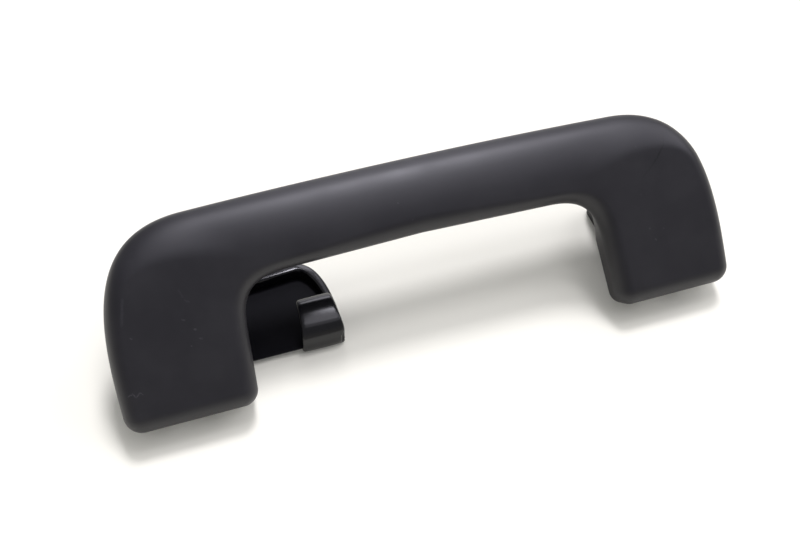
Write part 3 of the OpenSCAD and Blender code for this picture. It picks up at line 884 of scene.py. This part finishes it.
    def make_shell(self) -> Piece:
        """Builds the grip's shell without its cheeks and returns it."""
        right = self.half_sections()
        left = [[(-u, v, w) for u, v, w in ring] for ring in right[:0:-1]]
        rings = [[self.hinge.place(*p) for p in ring] for ring in left + right]
        return Bench.loft("grip_shell", rings)

    def make_cheek(self, x: float) -> Piece:
        """Builds the cheek whose middle is at x and returns it."""
        eye_v, eye_w = self.hinge.along_face, -self.hinge.behind_face
        web_v, web_w = eye_v + self.cheek_height, self.face_crown - self.wall
        outline = [(web_v, web_w - self.cheek_root), (web_v, web_w), (eye_v - self.cheek_r, web_w)]
        for k in range(19):
            a = math.pi + k * math.pi / 18
            outline.append((eye_v + self.cheek_r * math.cos(a), eye_w + self.cheek_r * math.sin(a)))
        points = [self.hinge.place(x - self.cheek_t / 2, v, w) for v, w in outline]
        cheek = Bench.bevel(Bench.prism("cheek", points, (self.cheek_t * MM, 0, 0)), 0.25, 2, 40)
        eye = circle(-self.hinge.back, self.hinge.rise, self.bush_r)
        hole = [((x - self.cheek_t) * MM, y * MM, z * MM) for y, z in eye]
        return Bench.combine(cheek, Bench.prism("bore", hole, (2 * self.cheek_t * MM, 0, 0)), "DIFFERENCE")

    def build(self) -> None:
        """Builds the grip, dresses it and hangs it on its body."""
        shell = self.make_shell()
        for side in (-1, 1):
            for end in (-1, 1):
                x = side * self.bracket_x + end * (self.cheek_in + self.cheek_t / 2)
                shell = Bench.combine(shell, self.make_cheek(x), "UNION")
        Bench.shade(shell, 32)
        Bench.dress(shell, self.finish.make(self.hinge.to_face()))
        Bench.mount(shell, GRIP_BODY, Slot.GRIP, "grip")


# ---------------------------------------------------------------- the coat hook


@dataclass
class CoatHook:
    """The coat hook: a plate with a raised rim, a nose that curls over it, and a tongue under the bracket.

    Nose_arcs is the nose's side view, root to lip, as arcs: which way each one's end faces, in degrees with 0
    for the front and 90 for the top, and its radius.
    """

    reach: float = 35.58
    left: float = 88.78
    plate_t: float = 3.0
    back: float = 15.0
    front: float = 24.4
    front_fall: float = 3.4
    front_in: float = 12.0
    end_bulge: tuple[float, float] = (1.0, 13.0)
    front_bulge: tuple[float, float] = (13.2, 0.6)
    plate_edge_r: float = 0.35
    back_lip: float = 0.6
    rim_h: float = 8.0
    rim_t: float = 2.6
    rim_front_t: float = 4.0
    rim_edge_r: float = 1.0
    rim_sink: float = 0.4
    edge_steps: int = 28
    nose_w: float = 17.9
    nose_from: tuple[float, float] = (-15.1, 0.2)
    nose_from_facing: float = -50.0
    nose_arcs: tuple[tuple[float, float], ...] = (
        (0, 5.2),
        (50, 11.0),
        (70, 8.0),
        (79, 44.0),
        (97, 4.8),
        (130, 6.5),
    )
    nose_wall: float = 2.6
    nose_bulge: float = 1.5
    lip_side_in: float = 1.8
    lip_left_in: float = 1.5
    lip_corner_r: float = 3.0
    lip_rows: int = 6
    lip_way: tuple[float, float] = (0.82, 0.57)
    taper_from: float = 6.0
    taper_over: float = 17.0
    root_r: float = 1.5
    nose_edge_r: float = 1.0
    nose_crown: float = 0.15
    tongue_t: float = 1.5
    tongue_r: float = 6.0
    tongue_x: float = 100.0
    tongue_y: float = -12.0
    sleeve_r: float = 4.52
    finish: MouldedPlastic = MouldedPlastic(
        name="hook_satin_black",
        base=colour(0.0045, 0.0045, 0.0060),
        pale=colour(0.0075, 0.0073, 0.0090),
        roughness=0.45,
        grain_mm=0.5,
        grain_depth=0.006,
        specular=0.03,
        polish=0.85,
        matt_at=3.0,
    )

    def edge(self, t: float) -> Vector:
        """Returns the plate's outline at t, round its right end to the front edge."""
        start, end = Vector((-self.reach, -self.back)), Vector((-self.reach - self.front_in, self.front))
        return bezier(start, start + Vector(self.end_bulge), end + Vector(self.front_bulge), end, t)

    def edge_normal(self, t: float) -> Vector:
        """Returns the direction into the plate at t."""
        run = (self.edge(min(1, t + 0.01)) - self.edge(max(0, t - 0.01))).normalized()
        return Vector((-run.y, run.x))

    def make_plate(self) -> Piece:
        """Builds the plate, whose back edge is bevelled from below, and returns it."""
        front_left = Vector((-self.left, self.front - self.front_fall))
        edge = [self.edge(t) for t in steps(self.edge_steps, True)]
        outline = [(p.x * MM, p.y * MM, 0.0) for p in [Vector((-self.left, -self.back)), *edge, front_left]]
        plate = Bench.prism("hook_plate", outline, (0, 0, self.plate_t * MM))
        Bench.bevel(plate, self.plate_edge_r, 2, 40)
        for vertex in plate.data.vertices:
            if vertex.co.y < (-self.back + self.plate_edge_r + 0.15) * MM:
                vertex.co.y += max(0.0, (self.plate_t - self.back_lip) * MM - vertex.co.z)
        return plate

    def make_rim(self) -> Piece:
        """Builds the rim along the right end and the front edge and returns it."""
        front_left = Vector((-self.left, self.front - self.front_fall))
        slope = (front_left - self.edge(1)).normalized()
        shares, sink = steps(self.edge_steps, True), self.rim_sink * MM
        outer = [self.edge(t) for t in shares] + [front_left]
        inner = [front_left + self.rim_front_t * Vector((-slope.y, slope.x))]
        for t in reversed(shares):
            inner.append(self.edge(t) + mix(self.rim_t, self.rim_front_t, ease(t)) * self.edge_normal(t))
        outline = [(p.x * MM, p.y * MM, sink) for p in outer + inner]
        rim = Bench.prism("hook_rim", outline, (0, 0, self.rim_h * MM - sink))
        return Bench.bevel(rim, self.rim_edge_r, 4, 40)

    def nose_side(self, rows: int = 7) -> list[tuple[Vector, Vector]]:
        """Returns the nose's outside and inside in y and z, from its root to its lip: a chain of arcs."""
        outer, leaning, stations = Vector(self.nose_from), self.nose_from_facing, []
        for end, radius in self.nose_arcs:
            facing = self.facing(leaning)
            centre = outer - facing * radius
            for k in range(1, rows + 1):
                facing = self.facing(mix(leaning, end, k / rows))
                outer = centre + facing * radius
                stations.append((outer, outer - facing * self.nose_wall))
            leaning = end
        return stations

    @staticmethod
    def facing(degrees: float) -> Vector:
        """Returns the direction in y and z at that height above the horizon, from the front over the top."""
        return Vector((-math.cos(math.radians(degrees)), math.sin(math.radians(degrees))))

    def nose_ring(self, outer: Vector, inner: Vector, from_lip: float) -> list[Point]:
        """Draws one section of the nose, a strip with rounded sides and a crowned front.

        Args:
            outer: its place on the outside, in y and z.
            inner: its place on the inside.
            from_lip: the distance along the nose to the lip's end.

        Returns:
            The ring's points in metres.
        """
        along_y, along_z = self.lip_way
        lean = (outer.x + self.back + self.nose_bulge) * along_y + outer.y * along_z
        pull = fall(self.lip_corner_r, from_lip)
        root_y = -self.back - self.nose_bulge
        taper = clamp((lean - self.taper_from) / self.taper_over)
        left = -self.reach - self.nose_w + self.lip_left_in * taper + pull
        right = -self.reach - self.lip_side_in * taper - pull
        right -= fall(self.root_r, max(0.0, outer.x - root_y))
        across = (inner - outer).length
        through = (inner - outer) / across
        edge = min(self.nose_edge_r, across * 0.48)
        arc = [(math.cos(k * math.pi / 2 / 5), math.sin(k * math.pi / 2 / 5)) for k in range(6)]
        flat = [(left + edge * (1 - s), across - edge * (1 - c)) for c, s in arc]
        flat += [(left + edge * (1 - c), edge * (1 - s)) for c, s in arc]
        flat += [(mix(left + edge, right - edge, k / 12), 0.0) for k in range(1, 12)]
        flat += [(right - edge * (1 - s), edge * (1 - c)) for c, s in arc]
        flat += [(right - edge * (1 - c), across - edge * (1 - s)) for c, s in arc]
        flat += [(mix(right - edge, left + edge, k / 6), across) for k in range(1, 6)]
        ring = []
        for x, deep in flat:
            side = 2 * (x - left) / (right - left) - 1
            deep = deep + self.nose_crown * side * side * (1 - deep / across)
            y, z = outer + through * deep
            ring.append((x * MM, y * MM, z * MM))
        return ring

    def make_nose(self) -> Piece:
        """Builds the nose from its root to its rounded lip and returns it."""
        stations = self.nose_side()
        outer, inner = stations[-1]
        middle, half = (outer + inner) / 2, (inner - outer) / 2
        ahead = Vector((-half.y, half.x))
        if ahead.x < 0:
            ahead = -ahead
        for k in range(1, self.lip_rows + 1):
            a = k * math.pi / 2 / (self.lip_rows + 0.35)
            tip = middle + ahead * math.sin(a)
            stations.append((tip - half * math.cos(a), tip + half * math.cos(a)))
        end_to = middle + ahead
        rings = []
        for outer, inner in stations:
            centre = (outer + inner) / 2
            rings.append(self.nose_ring(outer, inner, (end_to - centre).length))
        return Bench.loft("hook_nose", rings)

    def make_tongue(self) -> Piece:
        """Builds the tongue that the left bracket's rear screw clamps and returns it."""
        points = [(-self.left + 1.0, self.tongue_y + self.tongue_r), (-self.left + 1.0, -self.back)]
        for k in range(25):
            a = math.radians(mix(-30.0, 90.0, k / 24) + 180.0)
            x, y = self.tongue_r * math.cos(a), self.tongue_r * math.sin(a)
            points.append((-self.tongue_x + x, self.tongue_y - y))
        outline = [(x * MM, y * MM, 0.0) for x, y in points]
        tongue = Bench.prism("hook_tongue", outline, (0, 0, self.tongue_t * MM))
        hole = circle(-self.tongue_x, self.tongue_y, self.sleeve_r)
        bore = Bench.prism("bore", [(x * MM, y * MM, -1.0 * MM) for x, y in hole], (0, 0, 4.0 * MM))
        return Bench.combine(tongue, bore, "DIFFERENCE")

    def build(self) -> None:
        """Builds the hook, dresses it and fixes it to its body."""
        hook = self.make_plate()
        hook.name = hook.data.name = "hook_shell"
        for part in (self.make_rim(), self.make_nose(), self.make_tongue()):
            Bench.combine(hook, part, "UNION")
        Bench.shade(hook, 32)
        Bench.dress(hook, self.finish.make())
        Bench.mount(hook, BRACKETS_BODY, Slot.HOOK, "coat_hook")


# ---------------------------------------------------------------- what the legs hide


@dataclass
class Inside:
    """The brackets, covers, pins, bushes, spring and damper: softened copies of the CAD's own solids."""

    nodes: dict
    bracket: MouldedPlastic = MouldedPlastic(
        name="bracket_glass_filled",
        base=colour(0.0100, 0.0100, 0.0120),
        pale=colour(0.0230, 0.0230, 0.0260),
        roughness=0.52,
        grain_mm=0.4,
        grain_depth=0.02,
        specular=0.4,
        glass_fill=1.0,
    )
    cover: MouldedPlastic = MouldedPlastic(
        name="cover_satin_charcoal",
        base=colour(0.0140, 0.0135, 0.0160),
        pale=colour(0.0200, 0.0195, 0.0225),
        roughness=0.46,
        grain_mm=0.4,
        grain_depth=0.03,
        specular=0.42,
    )
    damper: MouldedPlastic = MouldedPlastic(
        name="damper_grey",
        base=colour(0.030, 0.032, 0.038),
        pale=colour(0.050, 0.052, 0.060),
        roughness=0.40,
        grain_mm=0.6,
        grain_depth=0.008,
    )
    acetal: MouldedPlastic = MouldedPlastic(
        name="bush_acetal",
        base=colour(0.62, 0.60, 0.54),
        pale=colour(0.70, 0.69, 0.64),
        roughness=0.38,
        grain_mm=0.6,
        grain_depth=0.006,
    )
    rubber: MouldedPlastic = MouldedPlastic(
        name="stop_rubber_black",
        base=colour(0.0070, 0.0070, 0.0072),
        pale=colour(0.0200, 0.0200, 0.0200),
        roughness=0.72,
        grain_mm=0.3,
        grain_depth=0.02,
        specular=0.3,
    )
    pin: Steel = Steel(
        name="pin_plated",
        base=colour(0.56, 0.57, 0.59),
        stain=colour(0.40, 0.39, 0.36),
        roughness=0.26,
        lines=(0.2, 6.0, 6.0),
    )
    ring: Steel = Steel(
        name="ring_spring_steel",
        base=colour(0.30, 0.31, 0.33),
        stain=colour(0.18, 0.17, 0.16),
        roughness=0.34,
        lines=(3.0, 3.0, 3.0),
    )
    wire: Steel = Steel(
        name="spring_wire",
        base=colour(0.42, 0.43, 0.45),
        stain=colour(0.25, 0.24, 0.22),
        roughness=0.30,
        lines=(1.0, 1.0, 1.0),
    )
    sleeve: Steel = Steel(
        name="sleeve_zinc",
        base=colour(0.50, 0.50, 0.47),
        stain=colour(0.40, 0.38, 0.30),
        roughness=0.33,
        lines=(2.0, 2.0, 0.5),
    )

    def _fit(
        self, node: str, name: str, width_mm: float, finish: bpy.types.Material, slot: Slot, body: str
    ) -> None:
        """Makes the piece for one node out of the node's own solid.

        Args:
            node: the CAD node.
            name: the new piece's name.
            width_mm: how far its edges are rounded; at 0 it is only smoothed.
            finish: its material.
            slot: its material slot; not used.
            body: the body that it rides on.
        """
        piece = Bench.copy_node(self.nodes[node], name)
        if width_mm > 0:
            Bench.bevel(piece, width_mm, 2, 40)
        Bench.shade(piece)
        Bench.dress(piece, finish)
        Bench.mount(piece, body, slot, node)

    def build(self) -> None:
        """Builds every piece that the legs hide."""
        bracket, cover, acetal = self.bracket.make(), self.cover.make(), self.acetal.make()
        rubber, damper, pin = self.rubber.make(), self.damper.make(), self.pin.make()
        ring, wire, sleeve = self.ring.make(), self.wire.make(), self.sleeve.make()
        for side in ("left", "right"):
            self._fit(f"{side}_bracket", f"{side}_bracket_body", 0.35, bracket, Slot.BRACKET, BRACKETS_BODY)
            self._fit(f"{side}_cover", f"{side}_cover_cap", 0.7, cover, Slot.COVER, BRACKETS_BODY)
            self._fit(f"{side}_hinge_pin", f"{side}_pin_turned", 0.15, pin, Slot.PIN, BRACKETS_BODY)
            self._fit(f"{side}_pin_ring", f"{side}_ring_pressed", 0.08, ring, Slot.RING, BRACKETS_BODY)
            self._fit(f"{side}_bushes", f"{side}_bushes_moulded", 0.12, acetal, Slot.BUSH, GRIP_BODY)
            self._fit(f"{side}_sleeves", f"{side}_sleeves_turned", 0.15, sleeve, Slot.SLEEVE, BRACKETS_BODY)
            self._fit(f"{side}_stop", f"{side}_stop_moulded", 0.3, rubber, Slot.STOP, BRACKETS_BODY)
        self._fit("return_spring", "return_spring_wire", 0.0, wire, Slot.SPRING, BRACKETS_BODY)
        self._fit("damper_rotor", "damper_rotor_turned", 0.15, acetal, Slot.BUSH, BRACKETS_BODY)
        self._fit("damper_housing", "damper_housing_moulded", 0.4, damper, Slot.DAMPER, GRIP_BODY)


# ---------------------------------------------------------------- the studio


@dataclass(frozen=True)
class SoftLight:
    """A broad soft light, far away, given by where it stands and how wide it looks, in degrees.

    Over is its place on the arc from the handle's front over the top to the far side, and side is how far
    that arc leans to the right.
    """

    name: str
    over: float
    side: float
    width: float
    strength: float
    tint: Point = (0.92, 0.905, 1.0)

    def place(self) -> None:
        """Puts the light into the scene."""
        data = bpy.data.lights.new(self.name, "SUN")
        data.energy = self.strength
        data.color = self.tint
        data.angle = math.radians(self.width)
        lamp = bpy.data.objects.new(self.name, data)
        bpy.context.scene.collection.objects.link(lamp)
        over, side = math.radians(self.over), math.radians(self.side)
        arc = math.cos(side)
        towards = Vector((math.sin(side), -arc * math.cos(over), arc * math.sin(over)))
        lamp.rotation_mode = "QUATERNION"
        lamp.rotation_quaternion = towards.to_track_quat("Z", "Y")
        lamp.location = towards


@dataclass
class Studio:
    """The pale table, the soft lights, the room round them and the camera."""

    lights: tuple[SoftLight, ...] = (
        SoftLight("softbox_key", 114.0, 12.6, 14.0, 1.85),
        SoftLight("softbox_top", 98.0, 12.6, 14.0, 0.52),
        SoftLight("softbox_front", 80.0, 12.6, 24.0, 0.30),
        SoftLight("softbox_low", 62.0, 12.6, 24.0, 0.10),
        SoftLight("softbox_far", 142.0, 12.6, 20.0, 0.36),
        SoftLight("softbox_backdrop", 165.0, 12.6, 24.0, 0.20),
        SoftLight("softbox_right_far", 118.0, 48.6, 30.0, 0.50),
        SoftLight("softbox_right", 80.0, 48.6, 30.0, 0.42),
    )
    floor: Floor = Floor()
    wall: Colour = colour(0.41, 0.395, 0.37)
    ceiling: Colour = colour(0.285, 0.285, 0.30)
    wall_top: float = 0.15
    ceiling_from: float = 0.45
    floor_size: float = 40.0
    floor_gap: float = 0.00005
    eye: Point = (-0.1062, -0.2591, 0.3759)
    elevation: float = 52.0
    yaw: float = 20.84
    roll: float = -2.97
    lens: float = 49.62
    sensor: float = 36.0

    def make_world(self) -> None:
        """Lights the room: pale walls up to a height, and a darker ceiling."""
        room = Shader("studio_room", world=True)
        place = room.add("ShaderNodeTexCoord", None, None, "Generated")
        height = room.add("ShaderNodeSeparateXYZ", None, {"Vector": place}, "Z")
        paint = room.blend(self.wall, self.ceiling, height.between(self.wall_top, self.ceiling_from))
        bpy.context.scene.world = room.end(room.add("ShaderNodeBackground", None, {"Color": paint}))

    def make_floor(self) -> None:
        """Lays the table top under the brackets."""
        Bench.clear_selection()
        bpy.ops.mesh.primitive_plane_add(size=self.floor_size, location=(0, 0, -self.floor_gap))
        floor = bpy.context.object
        floor.name = "table_top"
        Bench.dress(floor, self.floor.make())

    def make_camera(self) -> None:
        """Puts the camera where the photograph was taken from."""
        e, a, r = (math.radians(x) for x in (self.elevation, self.yaw, self.roll))
        level = Vector((math.sin(a), math.cos(a), 0.0))
        right = Vector((math.cos(a), -math.sin(a), 0.0))
        forward = level * math.cos(e) - Vector((0, 0, 1)) * math.sin(e)
        up = level * math.sin(e) + Vector((0, 0, 1)) * math.cos(e)
        x_axis = right * math.cos(r) - up * math.sin(r)
        y_axis = right * math.sin(r) + up * math.cos(r)
        data = bpy.data.cameras.new("photo_camera")
        data.lens = self.lens
        data.sensor_width = self.sensor
        data.clip_start, data.clip_end = 0.01, 60.0
        camera = bpy.data.objects.new("photo_camera", data)
        bpy.context.scene.collection.objects.link(camera)
        turn = Matrix((x_axis, y_axis, -forward)).transposed()
        camera.rotation_mode = "QUATERNION"
        camera.rotation_quaternion = turn.to_quaternion()
        camera.location = self.eye
        bpy.context.scene.camera = camera

    def build(self) -> None:
        """Builds the studio round the handle."""
        bpy.context.scene.view_settings.view_transform = "Standard"
        self.make_world()
        for light in self.lights:
            light.place()
        self.make_floor()
        self.make_camera()
        LOG.info("studio: %d lights", len(self.lights))


def main() -> None:
    """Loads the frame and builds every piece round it."""
    logging.basicConfig(level=logging.INFO, format="%(name)s: %(message)s")
    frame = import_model()
    hinge = Hinge()
    Studio().build()
    Grip(hinge).build()
    CoatHook().build()
    Inside(frame["nodes"]).build()
    Bench.clear_selection()


if __name__ == "__main__":
    main()
